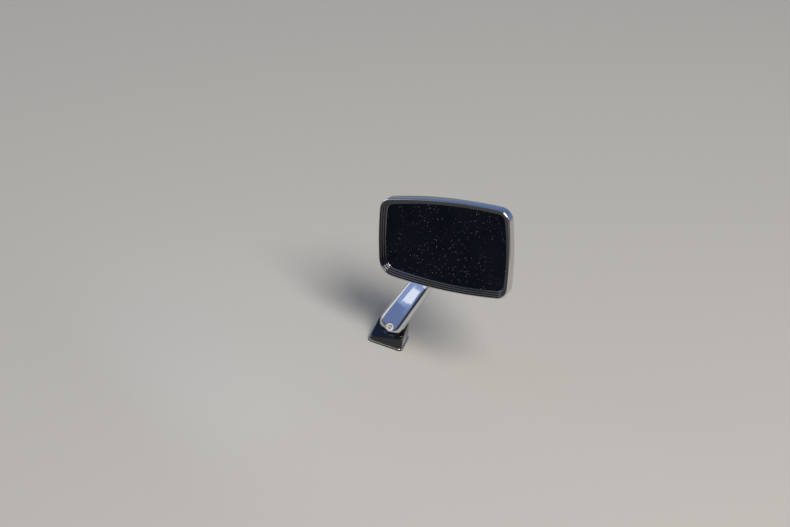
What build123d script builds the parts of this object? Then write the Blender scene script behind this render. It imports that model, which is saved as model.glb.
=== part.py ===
"""Chrome wing mirror for the right-hand front wing of a classic car, in millimetres.

The origin is the middle of the mounting face under the foot gasket. +Z leaves the wing
panel, +X points outboard and +Y points forward. The glass looks back towards the driver.
"""
import os
from math import cos, radians, sin, sqrt

from build123d import *

os.makedirs("parts", exist_ok=True)

# Foot on the wing panel
foot_length = 35.0
foot_width = 30.0
foot_turn = -7.0
foot_corner_radius = 4.0
foot_draft = 9.0
foot_crown_height = 13.6
foot_crown_heading = 48.6
foot_crown_tilt = 20.0
foot_edge_radius = 1.2
gasket_thickness = 1.2
gasket_margin = 0.8

# Two tapped blind holes under the foot, in line along X
mount_hole_radius = 2.1
mount_hole_depth = 6.0
mount_hole_spacing = 20.0
gasket_hole_clearance = 0.4

# Pivot screw that clamps the arm to the foot, placed by the middle of the arm's face
pivot_x = -1.8
pivot_y = -6.35
pivot_z = 18.05
screw_shank_radius = 2.5
screw_head_radius = 4.6
screw_head_height = 1.6
screw_sink_depth = 2.0
screw_recess = 2.2
screw_slot_width = 1.2
screw_slot_depth = 1.0
screw_slot_turn = -88.0
screw_reach = 7.0
running_clearance = 0.08
seat_clearance = 0.05

# Arm, a bevelled bar that leans forward and tapers towards the head
arm_heading = 64.8
arm_lean = 28.4
arm_turn = -9.8
arm_adjust_swing = 10.0
arm_length = 121.5
arm_thickness = 7.4
arm_foot_half_width = 13.3
arm_foot_radius = 11.0
arm_head_radius = 10.3
arm_end_offset = 4.5
arm_foot_side_offset = 2.0
arm_head_side_offset = -0.5
arm_bevel = 2.8
arm_back_edge_radius = 0.8
pocket_clearance = 0.5

# Boss, neck and ball at the top of the arm
boss_radius = 6.6
neck_radius = 4.2
ball_radius = 8.0
ball_clearance = 0.08
ball_flat_height = 5.0
boss_side_offset = 1.5
boss_reach = 30.1

# Head attitude, seen from behind the car, and the ball's place along its length
head_yaw = -19.2
head_pitch = 7.3
head_roll = 16.8
ball_side_offset = -5.0

# Head outline at the rim
head_width = 137.4
head_inboard_height = 77.0
head_outboard_height = 91.0
head_long_bulge = 4.8
head_inboard_bulge = 1.8
head_outboard_bulge = 2.9
head_corner_radius = 13.0
head_low_inboard_radius = 18.0

# Rim, glass and the pressed shell behind them. The reed's wall takes a share of its width
# and of its height, and the rest is the reed's sloping face
rim_crest_height = 6.0
rim_skirt_depth = 5.0
rim_wall = 1.0
rim_crest_radius = 1.4
rim_crest_land = 1.6
rim_band_width = 4.6
rim_reeds = 3
reed_wall_width_share = 0.25
reed_wall_height_share = 0.7
rim_lip_height = 0.8
rim_lip_lap = 1.4
glass_thickness = 2.5
seal_thickness = 1.0
seal_width = 4.0
shell_wall = 1.4
shell_flange_width = 7.0
shell_depth = 20.0
seam_gap = 0.05

# Socket that holds the ball in the back of the shell
ball_sink = 2.0
socket_radius = 12.0
socket_flange_radius = 15.0
socket_mouth_lip = 4.0
socket_mouth_flare = 0.8
socket_bore_height = 6.5
socket_floor = 2.0

# Frames worked out from the attitudes above
heading, lean, turn = radians(arm_heading), radians(arm_lean), radians(arm_turn)
arm_normal = Vector(-cos(lean) * cos(heading), -cos(lean) * sin(heading), sin(lean))
uphill = Vector(sin(lean) * cos(heading), sin(lean) * sin(heading), cos(lean))
arm_axis = uphill * cos(turn) + arm_normal.cross(uphill) * sin(turn)
pivot_point = Vector(pivot_x, pivot_y, pivot_z)
face_plane = Plane(origin=pivot_point, x_dir=arm_axis, z_dir=arm_normal)
seat_plane = face_plane.offset(-arm_thickness - seat_clearance)

yaw, pitch, roll = radians(head_yaw), radians(head_pitch), radians(head_roll)
head_normal = Vector(sin(yaw) * cos(pitch), -cos(yaw) * cos(pitch), sin(pitch))
level_axis = Vector(0, 0, 1).cross(head_normal).normalized()
upright_axis = head_normal.cross(level_axis)
head_axis = level_axis * cos(roll) + upright_axis * sin(roll)
arm_side = arm_normal.cross(arm_axis)
boss_root = (
    pivot_point + arm_axis * arm_length + arm_side * boss_side_offset - arm_normal * (arm_thickness / 2)
)
ball_depth = shell_depth - ball_sink
ball_centre = boss_root + head_normal * boss_reach
glass_centre = ball_centre + head_normal * ball_depth - head_axis * ball_side_offset
boss_plane = Plane(origin=boss_root, x_dir=head_axis, z_dir=head_normal)
ball_plane = Plane(origin=ball_centre, x_dir=head_axis, z_dir=head_normal)
mount_plane = ball_plane.offset(ball_depth)
head_plane = Plane(origin=glass_centre, x_dir=head_axis, z_dir=head_normal)

# Heights in the head's own frame, where the glass surface is zero
shell_front = -glass_thickness - seal_thickness
glass_inset = rim_crest_land + rim_band_width - rim_lip_lap

# Shell sections from the rim to the back: share of the outline, share of the depth,
# share of the corner radii
shell_sections = [
    (1.00, 0.00, 1.00),
    (0.93, 0.42, 1.00),
    (0.70, 0.82, 0.90),
    (0.34, 1.00, 0.65),
]


def head_outline(inset=0.0, share=1.0, corner_share=1.0):
    """Face of the head's four-sided outline with bulged sides and round corners."""
    half_width = head_width / 2 * share - inset
    half_inboard = head_inboard_height / 2 * share - inset
    half_outboard = head_outboard_height / 2 * share - inset
    half_middle = (half_inboard + half_outboard) / 2
    low_in, low_out = (-half_width, -half_inboard), (half_width, -half_outboard)
    top_out, top_in = (half_width, half_outboard), (-half_width, half_inboard)
    with BuildSketch() as outline:
        with BuildLine():
            ThreePointArc(low_in, (0, -half_middle - head_long_bulge * share), low_out)
            ThreePointArc(low_out, (half_width + head_outboard_bulge * share, 0), top_out)
            ThreePointArc(top_out, (0, half_middle + head_long_bulge * share), top_in)
            ThreePointArc(top_in, (-half_width - head_inboard_bulge * share, 0), low_in)
        make_face()
        low_inboard = outline.vertices().sort_by(lambda point: point.X + point.Y)[0]
        fillet(low_inboard, head_low_inboard_radius * corner_share - inset)
        for turn in ((1, 1), (-1, 1), (1, -1)):
            corner = outline.vertices().sort_by(lambda point: point.X * turn[0] + point.Y * turn[1])[-1]
            fillet(corner, head_corner_radius * corner_share - inset)
    return outline.sketch


def shell_stack(wall):
    """Sections of the domed shell, each with its height, drawn in by one wall thickness."""
    depth = shell_depth + shell_front - 2 * wall
    return [
        (
            shell_front - wall - deep * depth,
            head_outline(rim_wall + seam_gap + wall, share, corner_share),
        )
        for share, deep, corner_share in shell_sections
    ]


def band_profile():
    """Inset and height of each corner of the rim's band, from the crest to the lip."""
    width = rim_band_width / rim_reeds
    height = (rim_crest_height - rim_lip_height) / rim_reeds
    profile = []
    for reed in range(rim_reeds):
        inset, level = rim_crest_land + reed * width, rim_crest_height - reed * height
        profile.append((inset, level))
        foot_inset = inset + reed_wall_width_share * width
        profile.append((foot_inset, level - reed_wall_height_share * height))
    profile.append((rim_crest_land + rim_band_width, rim_lip_height))
    return profile


def arm_outline(margin=0.0):
    """Outline of the arm's bar in its face plane: a blunt lower end and a round upper end."""
    corner_offset = arm_foot_half_width - arm_foot_radius
    with BuildSketch() as outline:
        with BuildLine():
            for side in (-corner_offset, corner_offset):
                centre = (arm_end_offset, arm_foot_side_offset + side)
                CenterArc(centre, arm_foot_radius + margin, 0, 360)
            CenterArc((arm_length, arm_head_side_offset), arm_head_radius + margin, 0, 360)
        make_hull()
    return outline.sketch


# Rubber gasket between the foot and the wing panel
with BuildPart() as foot_gasket:
    with BuildSketch(Plane.XY.rotated((0, 0, foot_turn))):
        RectangleRounded(
            foot_length + 2 * gasket_margin,
            foot_width + 2 * gasket_margin,
            foot_corner_radius + gasket_margin,
        )
    extrude(amount=gasket_thickness)
    with BuildSketch():
        with Locations((-mount_hole_spacing / 2, 0), (mount_hole_spacing / 2, 0)):
            Circle(mount_hole_radius + gasket_hole_clearance)
    extrude(amount=gasket_thickness, mode=Mode.SUBTRACT)

# Cast foot: a drafted wedge with a pocket for the lower end of the arm
crown_slope, crown_turn = radians(foot_crown_tilt), radians(foot_crown_heading)
crown_normal = Vector(
    -sin(crown_slope) * cos(crown_turn), -sin(crown_slope) * sin(crown_turn), cos(crown_slope)
)
crown_plane = Plane(origin=(0, 0, foot_crown_height), z_dir=crown_normal)
with BuildPart() as foot:
    with BuildSketch(Plane.XY.offset(gasket_thickness).rotated((0, 0, foot_turn))):
        RectangleRounded(foot_length, foot_width, foot_corner_radius)
    extrude(amount=2 * foot_crown_height, taper=foot_draft)
    split(bisect_by=crown_plane, keep=Keep.BOTTOM)
    fillet(foot.faces().sort_by(Axis.Z)[-1].edges(), foot_edge_radius)
    with BuildSketch(seat_plane):
        for swing in (-arm_adjust_swing, 0, arm_adjust_swing):
            with Locations(Rotation(0, 0, swing)):
                add(arm_outline(pocket_clearance))
    extrude(amount=2 * foot_length, mode=Mode.SUBTRACT)
    with BuildSketch(seat_plane):
        Circle(screw_shank_radius)
    extrude(amount=-screw_reach, mode=Mode.SUBTRACT)
    with BuildSketch(Plane.XY.offset(gasket_thickness)):
        with Locations((-mount_hole_spacing / 2, 0), (mount_hole_spacing / 2, 0)):
            Circle(mount_hole_radius)
    extrude(amount=mount_hole_depth, mode=Mode.SUBTRACT)

# Slotted pivot screw with a raised countersunk head, let in below the arm's face
screw_plane = face_plane.offset(-screw_recess)
with BuildPart() as pivot_screw:
    with BuildSketch(screw_plane):
        Circle(screw_shank_radius)
    extrude(amount=screw_recess - arm_thickness - seat_clearance - screw_reach)
    with BuildSketch(screw_plane.offset(-screw_sink_depth)):
        Circle(screw_shank_radius)
    with BuildSketch(screw_plane):
        Circle(screw_head_radius)
    loft()
    with BuildSketch(screw_plane):
        Circle(screw_head_radius)
    extrude(amount=screw_head_height, taper=30)
    crest = pivot_screw.faces().sort_by(Axis(pivot_point, arm_normal))[-1]
    fillet(crest.edges(), screw_head_height / 2)
    with BuildSketch(screw_plane.offset(screw_head_height)):
        with Locations(Rotation(0, 0, screw_slot_turn)):
            Rectangle(3 * screw_head_radius, screw_slot_width)
    extrude(amount=-screw_slot_depth, mode=Mode.SUBTRACT)

# Cast arm: bevelled bar, with the boss and neck that reach for the ball
with BuildPart() as arm:
    with BuildSketch(face_plane):
        add(arm_outline())
    extrude(amount=-arm_thickness)
    by_depth = arm.faces().filter_by(face_plane).sort_by(Axis(pivot_point, arm_normal))
    chamfer(by_depth[-1].edges(), arm_bevel)
    by_depth = arm.faces().filter_by(face_plane).sort_by(Axis(pivot_point, arm_normal))
    fillet(by_depth[0].edges(), arm_back_edge_radius)
    with BuildSketch(boss_plane):
        Circle(boss_radius)
    with BuildSketch(boss_plane.offset(boss_reach - ball_radius / 2)):
        Circle(neck_radius)
    loft()
    with Locations(ball_centre):
        Sphere(ball_radius + ball_clearance, mode=Mode.SUBTRACT)
    with BuildSketch(face_plane):
        Circle(screw_shank_radius + running_clearance)
    extrude(amount=-arm_thickness, mode=Mode.SUBTRACT)
    with BuildSketch(face_plane):
        Circle(screw_head_radius + running_clearance)
    extrude(amount=-screw_recess, mode=Mode.SUBTRACT)
    with BuildSketch(screw_plane.offset(-screw_sink_depth)):
        Circle(screw_shank_radius + running_clearance)
    with BuildSketch(screw_plane):
        Circle(screw_head_radius + running_clearance)
    loft(mode=Mode.SUBTRACT)

# Ball on which the head pans and tilts, cut flat towards the glass
with BuildPart() as swivel_ball:
    with Locations(ball_centre):
        Sphere(ball_radius)
    split(bisect_by=ball_plane.offset(ball_flat_height), keep=Keep.BOTTOM)

# Socket with a round seat that wraps the ball past its middle, a bore towards the glass
# and a flange outside the shell
mouth_depth = ball_depth + socket_mouth_lip
mouth_radius = sqrt((ball_radius + ball_clearance) ** 2 - socket_mouth_lip**2)
floor_depth = ball_depth - socket_bore_height - socket_floor
with BuildPart() as ball_socket:
    with BuildSketch(mount_plane.offset(-mouth_depth)):
        Circle(socket_flange_radius)
    extrude(amount=mouth_depth - shell_depth)
    fillet(ball_socket.faces().sort_by(Axis(glass_centre, head_normal))[0].edges(), socket_mouth_flare)
    with BuildSketch(mount_plane.offset(-mouth_depth)):
        Circle(socket_radius)
    extrude(amount=mouth_depth - floor_depth)
    with Locations(ball_plane):
        Sphere(
            ball_radius + ball_clearance,
            arc_size2=0,
            align=(Align.CENTER, Align.CENTER, Align.MAX),
            mode=Mode.SUBTRACT,
        )
    with BuildSketch(ball_plane):
        Circle(ball_radius + ball_clearance)
    extrude(amount=socket_bore_height, mode=Mode.SUBTRACT)
    with BuildSketch(mount_plane.offset(-mouth_depth)):
        Circle(mouth_radius + socket_mouth_flare)
    with BuildSketch(mount_plane.offset(2 * socket_mouth_flare - mouth_depth)):
        Circle(mouth_radius)
    loft(mode=Mode.SUBTRACT)

# Pressed shell: hollow dome with a flange turned in behind the glass
with BuildPart() as head_shell:
    for height, section in shell_stack(0.0):
        with BuildSketch(head_plane.offset(height)):
            add(section)
    loft()
    for height, section in shell_stack(shell_wall):
        with BuildSketch(head_plane.offset(height)):
            add(section)
    loft(ruled=True, mode=Mode.SUBTRACT)
    with BuildSketch(head_plane.offset(shell_front)):
        add(head_outline(rim_wall + seam_gap + shell_flange_width))
    extrude(amount=-shell_wall, mode=Mode.SUBTRACT)
    with BuildSketch(mount_plane.offset(-shell_depth)):
        Circle(socket_flange_radius + seam_gap)
    extrude(amount=-shell_wall, mode=Mode.SUBTRACT)
    with BuildSketch(mount_plane.offset(-shell_depth)):
        Circle(socket_radius + seam_gap)
    extrude(amount=3 * shell_wall, mode=Mode.SUBTRACT)

# Rim: skirt over the shell, rounded crest, sloping band with reeds and a lip on the glass
with BuildPart() as head_rim:
    with BuildSketch(head_plane.offset(-rim_skirt_depth)):
        add(head_outline())
    extrude(amount=rim_skirt_depth + rim_crest_height)
    front = head_rim.faces().sort_by(Axis(glass_centre, head_normal))[-1]
    fillet(front.edges(), rim_crest_radius)
    with BuildSketch(head_plane.offset(-rim_skirt_depth)):
        add(head_outline(rim_wall))
    extrude(amount=rim_skirt_depth, mode=Mode.SUBTRACT)
    with BuildSketch(head_plane):
        add(head_outline(rim_crest_land + rim_band_width))
    extrude(amount=rim_lip_height, mode=Mode.SUBTRACT)
    for outer, inner in zip(band_profile(), band_profile()[1:]):
        for inset, height in (outer, inner):
            with BuildSketch(head_plane.offset(height)):
                add(head_outline(inset))
        loft(mode=Mode.SUBTRACT)

# Rubber seal behind the edge of the glass
with BuildPart() as glass_seal:
    with BuildSketch(head_plane.offset(shell_front)):
        add(head_outline(glass_inset))
        add(head_outline(glass_inset + seal_width), mode=Mode.SUBTRACT)
    extrude(amount=seal_thickness)

# Flat silvered glass
with BuildPart() as mirror_glass:
    with BuildSketch(head_plane.offset(-glass_thickness)):
        add(head_outline(glass_inset))
    extrude(amount=glass_thickness)

pieces = {
    "foot_gasket": foot_gasket,
    "foot": foot,
    "pivot_screw": pivot_screw,
    "arm": arm,
    "swivel_ball": swivel_ball,
    "ball_socket": ball_socket,
    "head_shell": head_shell,
    "head_rim": head_rim,
    "glass_seal": glass_seal,
    "mirror_glass": mirror_glass,
}
for name, piece in pieces.items():
    piece.part.label = name
    export_step(piece.part, f"parts/{name}.step")
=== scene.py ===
"""Looks of a chrome wing mirror: foot on the wing panel, bevelled arm and tapered mirror head.

Lengths are millimetres, and K turns them into metres. The floor's reach, the camera's near and far limits
and the lamps are in metres.
"""

from math import atan2, cos, exp, hypot, pi, radians, sin, sqrt

import bmesh
import bpy
from mathutils import Matrix, Vector


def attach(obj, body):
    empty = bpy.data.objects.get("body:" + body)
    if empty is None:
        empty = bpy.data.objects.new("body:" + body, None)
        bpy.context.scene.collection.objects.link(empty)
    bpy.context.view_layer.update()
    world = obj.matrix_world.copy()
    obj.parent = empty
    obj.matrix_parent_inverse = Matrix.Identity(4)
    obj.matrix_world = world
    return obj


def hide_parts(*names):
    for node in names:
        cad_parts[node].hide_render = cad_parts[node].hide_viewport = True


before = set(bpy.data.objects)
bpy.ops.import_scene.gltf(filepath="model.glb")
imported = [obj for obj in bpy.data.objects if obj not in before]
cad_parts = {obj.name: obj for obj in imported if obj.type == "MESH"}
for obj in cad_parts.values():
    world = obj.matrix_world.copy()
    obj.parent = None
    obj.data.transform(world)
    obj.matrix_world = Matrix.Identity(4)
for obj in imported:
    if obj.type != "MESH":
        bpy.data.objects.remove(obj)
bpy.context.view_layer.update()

K = 0.001

# Sizes of the CAD model
PIVOT = Vector((-1.8, -6.35, 18.05))
ARM_HEADING, ARM_LEAN, ARM_TURN = radians(64.8), radians(28.4), radians(-9.8)
ARM_LENGTH, ARM_THICKNESS = 121.5, 7.4
ARM_HALF_WIDTH, ARM_FOOT_RADIUS, ARM_HEAD_RADIUS = 13.3, 11.0, 10.3
ARM_END, ARM_FOOT_SIDE, ARM_HEAD_SIDE, ARM_BEVEL = 4.5, 2.0, -0.5, 2.8
BOSS_SIDE, BOSS_REACH, BOSS_RADIUS, NECK_RADIUS = 1.5, 30.1, 6.6, 4.2
BALL_RADIUS, BALL_CLEARANCE, BALL_DEPTH, BALL_SIDE = 8.0, 0.08, 18.0, -5.0
HEAD_YAW, HEAD_PITCH, HEAD_ROLL = radians(-19.2), radians(7.3), radians(16.8)
HEAD_WIDTH, INBOARD_HEIGHT, OUTBOARD_HEIGHT = 137.4, 77.0, 91.0
LONG_BULGE, INBOARD_BULGE, OUTBOARD_BULGE = 4.8, 1.8, 2.9
CORNER_RADIUS, LOW_INBOARD_RADIUS = 13.0, 18.0
CREST_HEIGHT, SKIRT_DEPTH, CREST_LAND, BAND_WIDTH = 6.0, 5.0, 1.6, 4.6
REEDS, REED_WALL_WIDTH, REED_WALL_HEIGHT = 3, 0.25, 0.7
LIP_HEIGHT, LIP_LAP, GLASS_THICKNESS, RIM_WALL = 0.8, 1.4, 2.5, 1.0
SHANK_HOLE, SCREW_HOLE, SCREW_RECESS, SCREW_SINK = 2.58, 4.68, 2.2, 2.0
FOOT_LENGTH, FOOT_WIDTH, FOOT_CORNER, FOOT_TURN, GASKET = 35.0, 30.0, 4.0, radians(-7.0), 1.2

# Sizes that only this script uses, for its roundings, its meshes and the trim
ROUNDING_STEPS = 6
SKIRT_ROUNDING, CREST_ROUNDING, CREST_INNER_ROUNDING = 0.35, 1.35, 0.15
REED_ROUNDING, REED_ROOT_ROUNDING, LIP_ROUNDING = 0.42, 0.16, 0.25
DARK_BAND_START, DARK_BAND_END_MARGIN = 1.15, 0.12
GLASS_GRIND = 0.3
BAR_BACK_INSET, BAR_FACE_EDGE = 9.0, 0.9
BAR_BACK_ROUNDING, BAR_WALL_ROUNDING, BAR_FACE_ROUNDING = 0.8, 0.7, 2.0
CROWN, CROWN_START, CROWN_END, CROWN_STEPS = 0.45, 3.0, 10.0, 8
SCREW_CUT_ABOVE, SCREW_CUT_BELOW = 4.0, 1.0
NECK_START, NECK_END, NECK_STEPS = 2.6, 23.3, 16
NECK_FLARE, NECK_FLARE_FADE = 1.5, 1.6
CUP_STEPS, CUP_SPAN = 6, 6.5
BEAD_SINK, BEAD_REACH, BEAD_HEIGHT, BEAD_LOW_ROUNDING, BEAD_TOP_ROUNDING = 0.8, 0.55, 0.95, 0.2, 0.42
SHARP_ANGLE = radians(35)

# Frames of the arm and the head, worked out as in the CAD model
arm_normal = Vector((-cos(ARM_LEAN) * cos(ARM_HEADING), -cos(ARM_LEAN) * sin(ARM_HEADING), sin(ARM_LEAN)))
uphill = Vector((sin(ARM_LEAN) * cos(ARM_HEADING), sin(ARM_LEAN) * sin(ARM_HEADING), cos(ARM_LEAN)))
arm_axis = uphill * cos(ARM_TURN) + arm_normal.cross(uphill) * sin(ARM_TURN)
arm_side = arm_normal.cross(arm_axis)
head_normal = Vector((sin(HEAD_YAW) * cos(HEAD_PITCH), -cos(HEAD_YAW) * cos(HEAD_PITCH), sin(HEAD_PITCH)))
level = Vector((0, 0, 1)).cross(head_normal).normalized()
head_axis = level * cos(HEAD_ROLL) + head_normal.cross(level) * sin(HEAD_ROLL)
head_up = head_normal.cross(head_axis)
boss_root = PIVOT + arm_axis * ARM_LENGTH + arm_side * BOSS_SIDE - arm_normal * (ARM_THICKNESS / 2)
ball_centre = boss_root + head_normal * BOSS_REACH
glass_centre = ball_centre + head_normal * BALL_DEPTH - head_axis * BALL_SIDE


def in_frame(origin, x_axis, y_axis, z_axis, points):
    """Local points in millimetres, placed in the row frame in metres."""
    return [(origin + x_axis * x + y_axis * y + z_axis * z) * K for x, y, z in points]


def in_head(points):
    """Points of the head's own frame, which starts at the middle of the glass."""
    return in_frame(glass_centre, head_axis, head_up, head_normal, points)


def in_arm(points):
    """Points of the arm's own frame, which starts at the screw."""
    return in_frame(PIVOT, arm_axis, arm_side, arm_normal, points)


def make_piece(name, vertices, faces, body, material, slot, smooth=True, replaces=()):
    """A visible piece that rides a body and stands in for the nodes it replaces."""
    mesh = bpy.data.meshes.new(name)
    mesh.from_pydata([tuple(v) for v in vertices], [], faces)
    mesh.validate()
    piece = bpy.data.objects.new(name, mesh)
    bpy.context.scene.collection.objects.link(piece)
    mesh.materials.append(material)
    for face in mesh.polygons:
        face.use_smooth = smooth
    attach(piece, body)
    if replaces:
        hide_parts(*replaces)
    return piece


def loft(loops, close=False, cap_first=False, cap_last=False):
    """Faces between loops of equal length, given as lists of points."""
    count = len(loops[0])
    vertices = [p for loop in loops for p in loop]
    faces = []
    rows = len(loops)
    for i in range(rows if close else rows - 1):
        a, b = i * count, ((i + 1) % rows) * count
        for j in range(count):
            k = (j + 1) % count
            faces.append((a + j, a + k, b + k, b + j))
    if cap_first:
        faces.append(tuple(reversed(range(count))))
    if cap_last:
        faces.append(tuple((rows - 1) * count + j for j in range(count)))
    return vertices, faces


def circle_through(a, b, c):
    """Centre and radius of the circle through three points of the plane."""
    (ax, ay), (bx, by), (cx, cy) = a, b, c
    d = 2 * (ax * (by - cy) + bx * (cy - ay) + cx * (ay - by))
    ux = ((ax**2 + ay**2) * (by - cy) + (bx**2 + by**2) * (cy - ay) + (cx**2 + cy**2) * (ay - by)) / d
    uy = ((ax**2 + ay**2) * (cx - bx) + (bx**2 + by**2) * (ax - cx) + (cx**2 + cy**2) * (bx - ax)) / d
    return (ux, uy), hypot(ax - ux, ay - uy)


def head_outline(inset, side_steps=24, corner_steps=12):
    """Points round the head's outline, counter-clockwise, the same count for every inset."""
    half_width = HEAD_WIDTH / 2 - inset
    inboard = INBOARD_HEIGHT / 2 - inset
    outboard = OUTBOARD_HEIGHT / 2 - inset
    middle = (inboard + outboard) / 2
    corners = [
        (-half_width, -inboard), (half_width, -outboard), (half_width, outboard), (-half_width, inboard),
    ]
    middles = [
        (0, -middle - LONG_BULGE), (half_width + OUTBOARD_BULGE, 0),
        (0, middle + LONG_BULGE), (-half_width - INBOARD_BULGE, 0),
    ]
    radii = [r - inset for r in (LOW_INBOARD_RADIUS, CORNER_RADIUS, CORNER_RADIUS, CORNER_RADIUS)]
    arcs = [circle_through(corners[i], middles[i], corners[(i + 1) % 4]) for i in range(4)]
    fillets = []
    for i in range(4):
        (c1, r1), (c2, r2), r = arcs[i - 1], arcs[i], radii[i]
        a, b = r1 - r, r2 - r
        d = hypot(c2[0] - c1[0], c2[1] - c1[1])
        t = (a * a - b * b + d * d) / (2 * d)
        h = sqrt(max(a * a - t * t, 0))
        ex, ey = (c2[0] - c1[0]) / d, (c2[1] - c1[1]) / d
        options = [(c1[0] + ex * t - ey * s * h, c1[1] + ey * t + ex * s * h) for s in (1, -1)]
        centre = min(options, key=lambda p: hypot(p[0] - corners[i][0], p[1] - corners[i][1]))
        ends = []
        for c, big in ((c1, r1), (c2, r2)):
            dx, dy = centre[0] - c[0], centre[1] - c[1]
            length = hypot(dx, dy)
            ends.append((c[0] + dx / length * big, c[1] + dy / length * big))
        fillets.append((centre, r, ends[0], ends[1]))
    points = []

    def arc(centre, radius, start, end, steps):
        a0 = atan2(start[1] - centre[1], start[0] - centre[0])
        a1 = atan2(end[1] - centre[1], end[0] - centre[0])
        turn = (a1 - a0 + pi) % (2 * pi) - pi
        for i in range(steps):
            angle = a0 + turn * i / steps
            points.append((centre[0] + radius * cos(angle), centre[1] + radius * sin(angle)))

    for i in range(4):
        centre, r, start, end = fillets[i]
        arc(centre, r, start, end, corner_steps)
        arc(arcs[i][0], arcs[i][1], end, fillets[(i + 1) % 4][2], side_steps)
    return points


def at_height(outline, height):
    """The points of a flat outline, all at one height."""
    return [(x, y, height) for x, y in outline]


def rounded(profile, radii, steps=ROUNDING_STEPS):
    """A polyline of (inset, height) points whose corners are rounded to the given radii."""
    out = []
    for i, (x, y) in enumerate(profile):
        r = radii[i]
        if r <= 0 or i in (0, len(profile) - 1):
            out.append((x, y))
            continue
        px, py = profile[i - 1]
        nx, ny = profile[i + 1]
        a = Vector((px - x, py - y)).normalized()
        b = Vector((nx - x, ny - y)).normalized()
        half = a.angle(b) / 2
        reach = r * cos(half) / sin(half)
        centre = Vector((x, y)) + (a + b).normalized() * (r / sin(half))
        start, end = Vector((x, y)) + a * reach - centre, Vector((x, y)) + b * reach - centre
        a0, a1 = atan2(start.y, start.x), atan2(end.y, end.x)
        turn = (a1 - a0 + pi) % (2 * pi) - pi
        for k in range(steps + 1):
            angle = a0 + turn * k / steps
            out.append((centre.x + r * cos(angle), centre.y + r * sin(angle)))
    return out


# Materials
DIRT_SHADE, MARK_SHADE, RUBBER_BLOOM = 0.72, 0.80, 2.2
DUST_COLOUR = (0.60, 0.61, 0.65, 1)
# Where the screw's painted highlights begin and are full: radius of the rim, depth of the slot's floor
SCREW_FACE_RADII = (2.2, 2.8)
SLOT_FLOOR_DEPTHS = (0.9, 1.3)
SCREW_FACE_COLOUR = (0.40, 0.375, 0.34, 1)


def new_material(name):
    """A material with its node tree and its Principled shader."""
    material = bpy.data.materials.new(name)
    material.use_nodes = True
    tree = material.node_tree
    return material, tree, tree.nodes["Principled BSDF"]


def add_node(tree, kind, **values):
    """A shader node with the values of its inputs, or of its own settings, filled in."""
    node = tree.nodes.new(kind)
    for key, value in values.items():
        if key in node.inputs:
            node.inputs[key].default_value = value
        else:
            setattr(node, key, value)
    return node


def ramp(tree, source, stops, colour=True):
    """A colour ramp over (place, value) stops, fed by a source socket."""
    node = tree.nodes.new("ShaderNodeValToRGB")
    elements = node.color_ramp.elements
    while len(elements) < len(stops):
        elements.new(0.5)
    for element, (place, value) in zip(elements, stops):
        element.position = place
        element.color = value if colour else (value, value, value, 1)
    tree.links.new(source, node.inputs[0])
    return node


def chrome(name, tint=(0.70, 0.71, 0.73), rough=(0.025, 0.09), wave=0.00002, grain=0.000004):
    """Plated metal: smears in the gloss, faint waves of the polish, fine pits and dried drops."""
    material, tree, shader = new_material(name)
    place = add_node(tree, "ShaderNodeTexCoord").outputs["Object"]
    smear = add_node(tree, "ShaderNodeTexNoise", Scale=70.0, Detail=6.0, Roughness=0.62)
    tree.links.new(place, smear.inputs["Vector"])
    low, high = rough
    gloss = ramp(tree, smear.outputs[0], [(0.45, low), (0.72, high)], colour=False)
    tree.links.new(gloss.outputs[0], shader.inputs["Roughness"])
    pits = add_node(tree, "ShaderNodeTexNoise", Scale=1300.0, Detail=2.0, Roughness=0.6)
    tree.links.new(place, pits.inputs["Vector"])
    dirty = tuple(c * DIRT_SHADE for c in tint) + (1,)
    colour = ramp(tree, pits.outputs[0], [(0.26, dirty), (0.36, tint + (1,))])
    drops = add_node(tree, "ShaderNodeTexVoronoi", Scale=260.0, Randomness=1.0)
    tree.links.new(place, drops.inputs["Vector"])
    ring = ramp(tree, drops.outputs["Distance"], [(0.10, 0.0), (0.14, 0.35), (0.18, 0.0)], colour=False)
    marks = add_node(tree, "ShaderNodeMix", data_type="RGBA")
    tree.links.new(ring.outputs[0], marks.inputs["Factor"])
    tree.links.new(colour.outputs[0], marks.inputs["A"])
    marks.inputs["B"].default_value = tuple(c * MARK_SHADE for c in tint) + (1,)
    tree.links.new(marks.outputs["Result"], shader.inputs["Base Color"])
    shader.inputs["Metallic"].default_value = 1.0
    waves = add_node(tree, "ShaderNodeTexNoise", Scale=42.0, Detail=1.5)
    tree.links.new(place, waves.inputs["Vector"])
    bump = add_node(tree, "ShaderNodeBump", Strength=1.0, Distance=wave)
    tree.links.new(waves.outputs[0], bump.inputs["Height"])
    fine = add_node(tree, "ShaderNodeBump", Strength=1.0, Distance=grain)
    tree.links.new(pits.outputs[0], fine.inputs["Height"])
    tree.links.new(bump.outputs[0], fine.inputs["Normal"])
    tree.links.new(fine.outputs[0], shader.inputs["Normal"])
    return material


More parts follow.
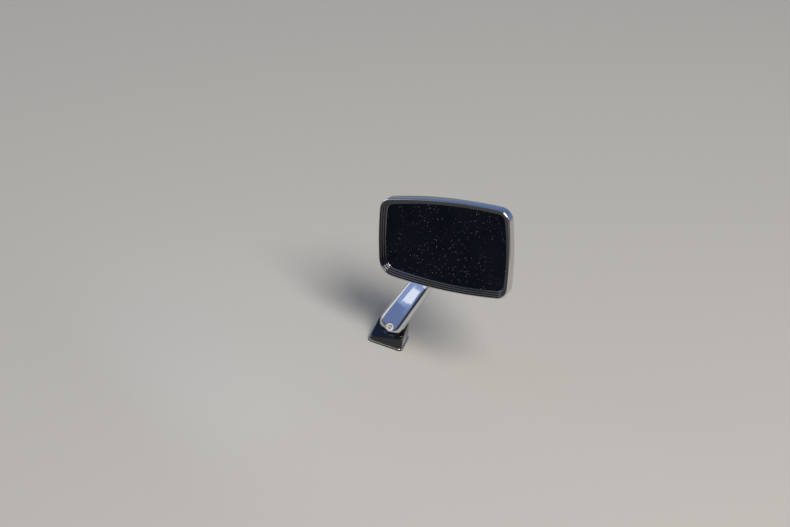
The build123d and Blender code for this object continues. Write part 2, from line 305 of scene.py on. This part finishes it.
def paint_screw_highlights(material):
    """Paints highlights on the screw's rim and on the floor of its slot, and dulls the face between them."""
    tree = material.node_tree
    shader = tree.nodes["Principled BSDF"]
    place = add_node(tree, "ShaderNodeTexCoord").outputs["Object"]
    from_pivot = add_node(tree, "ShaderNodeVectorMath", operation="SUBTRACT")
    tree.links.new(place, from_pivot.inputs[0])
    from_pivot.inputs[1].default_value = PIVOT * K
    off_axis = add_node(tree, "ShaderNodeVectorMath", operation="CROSS_PRODUCT")
    tree.links.new(from_pivot.outputs[0], off_axis.inputs[0])
    off_axis.inputs[1].default_value = arm_normal
    radius = add_node(tree, "ShaderNodeVectorMath", operation="LENGTH")
    tree.links.new(off_axis.outputs[0], radius.inputs[0])
    depth = add_node(tree, "ShaderNodeVectorMath", operation="DOT_PRODUCT")
    tree.links.new(from_pivot.outputs[0], depth.inputs[0])
    depth.inputs[1].default_value = -arm_normal
    masks = []
    for source, (low, high) in ((radius, SCREW_FACE_RADII), (depth, SLOT_FLOOR_DEPTHS)):
        mask = add_node(tree, "ShaderNodeMapRange")
        mask.inputs["From Min"].default_value = low * K
        mask.inputs["From Max"].default_value = high * K
        tree.links.new(source.outputs["Value"], mask.inputs["Value"])
        masks.append(mask)
    # The rim and the slot's floor get a painted highlight: a pale, non-metal colour
    bright = add_node(tree, "ShaderNodeMath", operation="MAXIMUM")
    for mask, socket in zip(masks, bright.inputs):
        tree.links.new(mask.outputs[0], socket)
    mix = add_node(tree, "ShaderNodeMix", data_type="RGBA")
    tree.links.new(bright.outputs[0], mix.inputs["Factor"])
    mix.inputs["A"].default_value = SCREW_FACE_COLOUR
    tree.links.new(shader.inputs["Base Color"].links[0].from_socket, mix.inputs["B"])
    tree.links.new(mix.outputs["Result"], shader.inputs["Base Color"])
    metal = ramp(tree, bright.outputs[0], [(0.0, 0.45), (1.0, 0.0)], colour=False)
    tree.links.new(metal.outputs[0], shader.inputs["Metallic"])


def mirror_glass():
    """Mirror glass whose silvering is painted near-black, a painted reflection of dark surroundings, with
    dust and dried drops on it.
    """
    material, tree, shader = new_material("mirror_glass_painted_dark_reflection")
    place = add_node(tree, "ShaderNodeTexCoord").outputs["Object"]
    shader.inputs["Metallic"].default_value = 1.0
    grains = add_node(tree, "ShaderNodeTexVoronoi", Scale=480.0, Randomness=1.0)
    tree.links.new(place, grains.inputs["Vector"])
    speck = ramp(tree, grains.outputs["Distance"], [(0.06, 1.0), (0.22, 0.0)], colour=False)
    keep = add_node(tree, "ShaderNodeSeparateColor")
    tree.links.new(grains.outputs["Color"], keep.inputs[0])
    chosen = ramp(tree, keep.outputs[0], [(0.35, 0.0), (0.95, 1.0)], colour=False)
    patches = add_node(tree, "ShaderNodeTexNoise", Scale=22.0, Detail=2.0)
    tree.links.new(place, patches.inputs["Vector"])
    dusty = ramp(tree, patches.outputs[0], [(0.42, 0.25), (0.58, 1.0)], colour=False)
    dust = add_node(tree, "ShaderNodeMath", operation="MULTIPLY")
    tree.links.new(speck.outputs[0], dust.inputs[0])
    tree.links.new(chosen.outputs[0], dust.inputs[1])
    settled = add_node(tree, "ShaderNodeMath", operation="MULTIPLY")
    tree.links.new(dust.outputs[0], settled.inputs[0])
    tree.links.new(dusty.outputs[0], settled.inputs[1])
    film = add_node(tree, "ShaderNodeTexNoise", Scale=30.0, Detail=6.0, Roughness=0.65)
    tree.links.new(place, film.inputs["Vector"])
    # Near-black base: painted dark reflection in place of bright silvering
    base = ramp(tree, film.outputs[0], [(0.3, (0.006, 0.008, 0.015, 1)), (0.75, (0.012, 0.015, 0.024, 1))])
    mix = add_node(tree, "ShaderNodeMix", data_type="RGBA")
    tree.links.new(settled.outputs[0], mix.inputs["Factor"])
    tree.links.new(base.outputs[0], mix.inputs["A"])
    mix.inputs["B"].default_value = DUST_COLOUR
    tree.links.new(mix.outputs["Result"], shader.inputs["Base Color"])
    rough = ramp(tree, film.outputs[0], [(0.35, 0.02), (0.8, 0.10)], colour=False)
    tree.links.new(rough.outputs[0], shader.inputs["Roughness"])
    return material


def rubber(name, colour=(0.018, 0.018, 0.020)):
    """Matt black rubber with a fine grain."""
    material, tree, shader = new_material(name)
    place = add_node(tree, "ShaderNodeTexCoord").outputs["Object"]
    noise = add_node(tree, "ShaderNodeTexNoise", Scale=600.0, Detail=4.0)
    tree.links.new(place, noise.inputs["Vector"])
    pale = tuple(c * RUBBER_BLOOM for c in colour) + (1,)
    shade = ramp(tree, noise.outputs[0], [(0.35, colour + (1,)), (0.75, pale)])
    tree.links.new(shade.outputs[0], shader.inputs["Base Color"])
    rough = ramp(tree, noise.outputs[0], [(0.3, 0.55), (0.7, 0.75)], colour=False)
    tree.links.new(rough.outputs[0], shader.inputs["Roughness"])
    bump = add_node(tree, "ShaderNodeBump", Strength=0.6, Distance=0.00005)
    tree.links.new(noise.outputs[0], bump.inputs["Height"])
    tree.links.new(bump.outputs[0], shader.inputs["Normal"])
    return material


body_chrome = chrome("chrome_body", wave=0.00025)
rim_chrome = chrome("chrome_rim", tint=(0.64, 0.635, 0.63), rough=(0.03, 0.11))
# The band's near-black tint is painted shade and painted reflection of dark surroundings
painted_dark_band_chrome = chrome("chrome_band_painted_dark", tint=(0.09, 0.09, 0.095), rough=(0.06, 0.16))
# The foot's near-black tint is painted reflection: it stands in for the dark panel that the chrome foot
# mirrors
foot_dark_reflection_chrome = chrome("chrome_foot_painted_dark_reflection", tint=(0.02, 0.02, 0.023), rough=(0.05, 0.14), wave=0.00006)
foot_coat = foot_dark_reflection_chrome.node_tree.nodes["Principled BSDF"].inputs
foot_coat["Coat Weight"].default_value = 1.0
foot_coat["Coat Roughness"].default_value = 0.05
shell_chrome = chrome("chrome_shell", rough=(0.04, 0.12))
screw_chrome = chrome("chrome_screw", tint=(0.90, 0.89, 0.86), rough=(0.12, 0.26), grain=0.00001)
# Painted highlights on the screw's rim and on the floor of its slot
paint_screw_highlights(screw_chrome)
steel = chrome("steel_joint", tint=(0.58, 0.58, 0.59), rough=(0.22, 0.36))
black_rubber = rubber("black_rubber")
glass_finish = mirror_glass()

finishes = {
    "foot_gasket": black_rubber, "foot": foot_dark_reflection_chrome, "pivot_screw": screw_chrome, "arm": body_chrome,
    "swivel_ball": steel, "ball_socket": steel, "head_shell": shell_chrome, "head_rim": rim_chrome,
    "glass_seal": black_rubber, "mirror_glass": glass_finish,
}
for name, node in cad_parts.items():
    node.data.materials.clear()
    node.data.materials.append(finishes[name])

# Rim: skirt, wall, rounded crest, sloping band with rounded reeds, lip on the glass
band_inner = CREST_LAND + BAND_WIDTH
reed_width, reed_height = BAND_WIDTH / REEDS, (CREST_HEIGHT - LIP_HEIGHT) / REEDS
corners = [(RIM_WALL, -SKIRT_DEPTH), (0, -SKIRT_DEPTH), (0, CREST_HEIGHT)]
radii = [0, SKIRT_ROUNDING, CREST_ROUNDING]
for reed in range(REEDS):
    inset, height = CREST_LAND + reed * reed_width, CREST_HEIGHT - reed * reed_height
    corners.append((inset, height))
    corners.append((inset + REED_WALL_WIDTH * reed_width, height - REED_WALL_HEIGHT * reed_height))
    radii += [CREST_INNER_ROUNDING if reed == 0 else REED_ROUNDING, REED_ROOT_ROUNDING]
corners += [(band_inner, LIP_HEIGHT), (band_inner, 0.0), (band_inner - LIP_LAP, 0.0), (RIM_WALL, 0.0)]
radii += [LIP_ROUNDING, 0.0, 0.0, 0.0]
rim_profile = rounded(corners, radii)
rim_loops = [in_head(at_height(head_outline(inset), height)) for inset, height in rim_profile]
rim = make_piece("rim", *loft(rim_loops, close=True), "head", rim_chrome, "rim_chrome",
                 replaces=("head_rim",))
rim.data.materials.append(painted_dark_band_chrome)
# The sloping band is darker than the rest of the rim: its near-black tint is painted shade and painted
# reflection, standing in for the shade in the recess and the dark surroundings it mirrors
around = len(rim_loops[0])
for face in rim.data.polygons:
    row = face.index // around
    inset, height = rim_profile[row]
    next_inset, next_height = rim_profile[(row + 1) % len(rim_profile)]
    middle_inset, middle_height = (inset + next_inset) / 2, (height + next_height) / 2
    on_band = DARK_BAND_START < middle_inset < band_inner - DARK_BAND_END_MARGIN
    if on_band and middle_height > LIP_HEIGHT:
        face.material_index = 1

# Glass with a ground edge
glass_inset = band_inner - LIP_LAP
glass_loops = [
    in_head(at_height(head_outline(glass_inset), -GLASS_THICKNESS)),
    in_head(at_height(head_outline(glass_inset), -GLASS_GRIND)),
    in_head(at_height(head_outline(glass_inset + GLASS_GRIND), 0.0)),
]
make_piece("glass", *loft(glass_loops, cap_first=True, cap_last=True), "head", glass_finish, "mirror",
           smooth=False, replaces=("mirror_glass",))


def arm_outline(margin, steps=28):
    """Points round the arm's bar, the hull of its two lower corners and its upper end."""
    corner = ARM_HALF_WIDTH - ARM_FOOT_RADIUS
    discs = [
        ((ARM_LENGTH, ARM_HEAD_SIDE), ARM_HEAD_RADIUS),
        ((ARM_END, ARM_FOOT_SIDE + corner), ARM_FOOT_RADIUS),
        ((ARM_END, ARM_FOOT_SIDE - corner), ARM_FOOT_RADIUS),
    ]
    leaves = []
    for i in range(3):
        (c1, r1), (c2, r2) = discs[i], discs[(i + 1) % 3]
        d = hypot(c2[0] - c1[0], c2[1] - c1[1])
        ex, ey = (c2[0] - c1[0]) / d, (c2[1] - c1[1]) / d
        along = (r1 - r2) / d
        out = sqrt(1 - along**2)
        leaves.append(atan2(ey * along - ex * out, ex * along + ey * out))
    points = []
    for i in range(3):
        (cx, cy), radius = discs[i]
        start = leaves[i - 1]
        turn = (leaves[i] - start) % (2 * pi)
        for k in range(steps + 1):
            angle = start + turn * k / steps
            points.append((cx + (radius + margin) * cos(angle), cy + (radius + margin) * sin(angle)))
    return points


def turned(profile, steps=72):
    """Loops round the local z axis for a profile of (radius, height) points."""
    return [
        [(r * cos(2 * pi * k / steps), r * sin(2 * pi * k / steps), z) for k in range(steps)]
        for r, z in profile
    ]


# Arm: bar with softened edges and a slightly crowned face, cut for the screw, and its neck
bar_corners = [
    (-BAR_BACK_INSET, -ARM_THICKNESS), (0, -ARM_THICKNESS), (0, -ARM_BEVEL), (-ARM_BEVEL, 0),
    (-ARM_BEVEL - BAR_FACE_EDGE, 0.0),
]
bar_roundings = [0, BAR_BACK_ROUNDING, BAR_WALL_ROUNDING, BAR_FACE_ROUNDING, 0]
bar_profile = rounded(bar_corners, bar_roundings)[:-1]
for k in range(1, CROWN_STEPS + 1):
    margin = CROWN_START + (CROWN_END - CROWN_START) * k / CROWN_STEPS
    rise = 1 - ((CROWN_END - margin) / (CROWN_END - CROWN_START))**2
    bar_profile.append((-margin, CROWN * rise))
bar_loops = [in_arm(at_height(arm_outline(margin), height)) for margin, height in bar_profile]
bar = make_piece("arm_casting", *loft(bar_loops, cap_first=True, cap_last=True), "arm", body_chrome,
                 "chrome", replaces=("arm",))
cutter_mesh = bpy.data.meshes.new("screw_seat")
cutter_profile = [
    (SCREW_HOLE, SCREW_CUT_ABOVE), (SCREW_HOLE, -SCREW_RECESS), (SHANK_HOLE, -SCREW_RECESS - SCREW_SINK),
    (SHANK_HOLE, -ARM_THICKNESS - SCREW_CUT_BELOW),
]
cutter_points, cutter_faces = loft([in_arm(ring) for ring in turned(cutter_profile)],
                                   cap_first=True, cap_last=True)
cutter_mesh.from_pydata([tuple(v) for v in cutter_points], [], cutter_faces)
cutter = bpy.data.objects.new("screw_seat", cutter_mesh)
bpy.context.scene.collection.objects.link(cutter)
for mesh in (bar.data, cutter_mesh):
    shell = bmesh.new()
    shell.from_mesh(mesh)
    bmesh.ops.recalc_face_normals(shell, faces=shell.faces)
    shell.to_mesh(mesh)
    shell.free()
cut = bar.modifiers.new("cut", "BOOLEAN")
cut.operation, cut.solver, cut.object = "DIFFERENCE", "EXACT", cutter
graph = bpy.context.evaluated_depsgraph_get()
casting = bmesh.new()
casting.from_mesh(bpy.data.meshes.new_from_object(bar.evaluated_get(graph)))
bar.modifiers.remove(cut)
bpy.data.objects.remove(cutter)
cup_radius = BALL_RADIUS + BALL_CLEARANCE
neck_profile = []
for k in range(NECK_STEPS + 1):
    height = NECK_START + (NECK_END - NECK_START) * k / NECK_STEPS
    cone = BOSS_RADIUS + (NECK_RADIUS - BOSS_RADIUS) * height / (BOSS_REACH - BALL_RADIUS / 2)
    neck_profile.append((cone + NECK_FLARE * exp(-(height - NECK_START) / NECK_FLARE_FADE), height))
for k in range(1, CUP_STEPS + 1):
    radius = neck_profile[NECK_STEPS][0] * (1 - k / CUP_SPAN)
    neck_profile.append((radius, BOSS_REACH - sqrt(cup_radius**2 - radius**2)))
neck_loops = [in_frame(boss_root, head_axis, head_up, head_normal, ring) for ring in turned(neck_profile)]
neck_points, neck_faces = loft(neck_loops, cap_first=True, cap_last=True)
neck_mesh = bpy.data.meshes.new("neck")
neck_mesh.from_pydata([tuple(v) for v in neck_points], [], neck_faces)
casting.from_mesh(neck_mesh)
for face in casting.faces:
    face.smooth = True
casting.to_mesh(bar.data)
casting.free()
bar.data.set_sharp_from_angle(angle=SHARP_ANGLE)


# Bead round the foot, just above the gasket
def foot_outline(margin, steps=10):
    """Points round the foot's base, a turned rectangle with round corners, grown by a margin."""
    points = []
    for corner, (sx, sy) in enumerate(((1, 1), (-1, 1), (-1, -1), (1, -1))):
        cx, cy = sx * (FOOT_LENGTH / 2 - FOOT_CORNER), sy * (FOOT_WIDTH / 2 - FOOT_CORNER)
        for k in range(steps + 1):
            angle = (corner + k / steps) * pi / 2
            x, y = cx + (FOOT_CORNER + margin) * cos(angle), cy + (FOOT_CORNER + margin) * sin(angle)
            points.append((x * cos(FOOT_TURN) - y * sin(FOOT_TURN), x * sin(FOOT_TURN) + y * cos(FOOT_TURN)))
    return points


bead_top = GASKET + BEAD_HEIGHT
bead_corners = [(-BEAD_SINK, GASKET), (BEAD_REACH, GASKET), (BEAD_REACH, bead_top), (-BEAD_SINK, bead_top)]
bead_profile = rounded(bead_corners, [0, BEAD_LOW_ROUNDING, BEAD_TOP_ROUNDING, 0])
bead_loops = [[(Vector(point) * K) for point in at_height(foot_outline(margin), height)]
              for margin, height in bead_profile]
make_piece("foot_bead", *loft(bead_loops, close=True), "base", body_chrome, "chrome")

# Camera at the photograph's viewing angle: the screw lies left of and below the picture's middle,
# and one picture element is one millimetre at the mirror
ELEVATION, CAMERA_ROLL, DISTANCE = radians(32.6), radians(15.0), 4000.0
SCREW_POINT, SCREW_LEFT, SCREW_BELOW = Vector((-1.0, -4.6, 17.0)), 4.6, 63.5
SENSOR_WIDTH, PICTURE_WIDTH = 36.0, 790.0
NEAR, FAR = 0.1, 50.0
toward = Vector((0, -cos(ELEVATION), sin(ELEVATION)))
level_up = Vector((0, sin(ELEVATION), cos(ELEVATION)))
image_right = Vector((1, 0, 0)) * cos(CAMERA_ROLL) + level_up * sin(CAMERA_ROLL)
image_up = Vector((-1, 0, 0)) * sin(CAMERA_ROLL) + level_up * cos(CAMERA_ROLL)
target = SCREW_POINT + image_right * SCREW_LEFT + image_up * SCREW_BELOW
camera_data = bpy.data.cameras.new("camera")
camera_data.sensor_width = SENSOR_WIDTH
camera_data.lens = SENSOR_WIDTH * DISTANCE / PICTURE_WIDTH
camera_data.clip_start, camera_data.clip_end = NEAR, FAR
camera = bpy.data.objects.new("camera", camera_data)
bpy.context.scene.collection.objects.link(camera)
camera.matrix_world = Matrix.Translation((target + toward * DISTANCE) * K) @ Matrix(
    (image_right, image_up, toward)).transposed().to_4x4()
bpy.context.scene.camera = camera

# Floor, a plain square of paper; its reach is in metres
FLOOR_REACH = 6.0
FLOOR_COLOUR = (0.48, 0.455, 0.41, 1)
floor_mesh = bpy.data.meshes.new("floor")
floor_corners = [(FLOOR_REACH * x, FLOOR_REACH * y, 0) for x, y in ((-1, -1), (1, -1), (1, 1), (-1, 1))]
floor_mesh.from_pydata(floor_corners, [], [(0, 1, 2, 3)])
floor = bpy.data.objects.new("floor", floor_mesh)
bpy.context.scene.collection.objects.link(floor)
floor_material, floor_tree, floor_shader = new_material("floor_paper")
floor_shader.inputs["Base Color"].default_value = FLOOR_COLOUR
floor_shader.inputs["Roughness"].default_value = 0.9
floor_shader.inputs["Specular IOR Level"].default_value = 0.1
floor_mesh.materials.append(floor_material)

# World: a dim room that the chrome mirrors, blue above the horizon and grey overhead, with five patches
world = bpy.data.worlds.new("studio")
bpy.context.scene.world = world
world.use_nodes = True
sky = world.node_tree
background = sky.nodes["Background"]
direction = add_node(sky, "ShaderNodeTexCoord").outputs["Generated"]


def facing(axis, stops, colour=False):
    """A ramp over the cosine between the direction seen and an axis, from -1 to 1."""
    dot = add_node(sky, "ShaderNodeVectorMath", operation="DOT_PRODUCT")
    sky.links.new(direction, dot.inputs[0])
    dot.inputs[1].default_value = Vector(axis).normalized()
    spread = add_node(sky, "ShaderNodeMapRange")
    spread.inputs["From Min"].default_value = -1.0
    sky.links.new(dot.outputs["Value"], spread.inputs["Value"])
    return ramp(sky, spread.outputs[0], [((place + 1) / 2, value) for place, value in stops], colour)


def blend_to(base, factor, colour):
    """The base colour, changed to another one where the factor is 1."""
    mix = add_node(sky, "ShaderNodeMix", data_type="RGBA")
    sky.links.new(factor.outputs[0], mix.inputs["Factor"])
    sky.links.new(base, mix.inputs["A"])
    mix.inputs["B"].default_value = colour
    return mix.outputs["Result"]


# Colours by height, as the sine of the angle above the horizon
HEIGHTS = [
    (-0.25, (0.16, 0.15, 0.135, 1)), (-0.02, (0.34, 0.325, 0.295, 1)), (0.03, (0.20, 0.27, 0.42, 1)),
    (0.25, (0.13, 0.22, 0.46, 1)), (0.50, (0.15, 0.19, 0.28, 1)), (0.75, (0.20, 0.20, 0.21, 1)),
]
# Patches: middle, cosines where the patch starts and where it is full, colour
PATCHES = [
    # Dark, in front and outboard
    ((0.85, -0.52, 0.0), 0.45, 0.80, (0.07, 0.07, 0.07, 1)),
    # Dim, in front and inboard, behind the cards that the arm's face mirrors
    ((-0.62, -0.66, 0.42), 0.72, 0.90, (0.10, 0.105, 0.12, 1)),
    # Black beside it, which makes the dark line along the arm's right edge
    ((-0.28, -0.92, 0.27), 0.965, 0.982, (0.03, 0.03, 0.03, 1)),
    # Blue, high and inboard
    ((-0.67, 0.12, 0.73), 0.80, 0.90, (0.12, 0.21, 0.46, 1)),
    # White, inboard, which makes the bright line along the arm's left edge
    ((-0.983, 0.045, 0.186), 0.94, 0.97, (1.7, 1.75, 1.8, 1)),
]
shade = facing((0, 0, 1), HEIGHTS, colour=True).outputs[0]
for axis, start, full, colour in PATCHES:
    shade = blend_to(shade, facing(axis, [(start, 0.0), (full, 1.0)]), colour)
sky.links.new(shade, background.inputs["Color"])
background.inputs["Strength"].default_value = 1.0


def area_lamp(name, place, aim, size, radiance, colour):
    """A soft lamp of the given width, height and brightness, hidden from the camera."""
    data = bpy.data.lights.new(name, "AREA")
    data.shape, data.size, data.size_y, data.color = "RECTANGLE", size[0], size[1], colour
    data.energy = radiance * pi * size[0] * size[1]
    lamp = bpy.data.objects.new(name, data)
    bpy.context.scene.collection.objects.link(lamp)
    lamp.location = place
    lamp.rotation_mode = "QUATERNION"
    lamp.rotation_quaternion = (Vector(aim) - Vector(place)).to_track_quat("-Z", "Y")
    lamp.visible_camera = False


def beyond(start, heading, reach):
    """The point at a reach from the start, along a heading of any length."""
    return Vector(start) + Vector(heading).normalized() * reach


# Lamps, in metres: name, point aimed at, heading from that point, reach, width and height, radiance, colour.
# The key and the side lamp light the whole piece. The four cards are small: the arm's face mirrors three
# of them and the rim's lower band the fourth.
MIDDLE = (0.02, 0.0, 0.09)
LOW_ON_ARM = (PIVOT + arm_axis * 32.0) * K
PATCH_ON_ARM = (PIVOT + arm_axis * 36.5) * K
HIGH_ON_ARM = (PIVOT + arm_axis * 52.0) * K
LOW_BAND = (glass_centre - head_up * 45.0) * K
LAMPS = [
    ("key", MIDDLE, (0.30, -0.40, 0.86), 3.2, (1.7, 1.7), 11.6, (1.0, 0.985, 0.96)),
    ("side", MIDDLE, (0.86, 0.30, 0.42), 2.0, (0.9, 0.7), 1.4, (1.0, 0.93, 0.80)),
    ("arm_blue", LOW_ON_ARM, (-0.73, -0.585, 0.337), 0.30, (0.18, 0.14), 0.32, (0.22, 0.40, 1.0)),
    ("arm_sky", HIGH_ON_ARM, (-0.73, -0.585, 0.337), 0.31, (0.15, 0.055), 0.30, (0.40, 0.60, 1.0)),
    ("arm_white", PATCH_ON_ARM, (-0.665, -0.655, 0.345), 0.27, (0.055, 0.020), 0.68, (1.0, 0.92, 0.68)),
    ("band_grey", LOW_BAND, (-0.723, -0.568, 0.393), 0.30, (0.30, 0.07), 0.62, (1.0, 0.95, 0.85)),
]
for name, aim, heading, reach, size, radiance, colour in LAMPS:
    area_lamp(name, beyond(aim, heading, reach), aim, size, radiance, colour)

settings = bpy.context.scene.view_settings
settings.view_transform = "Standard"
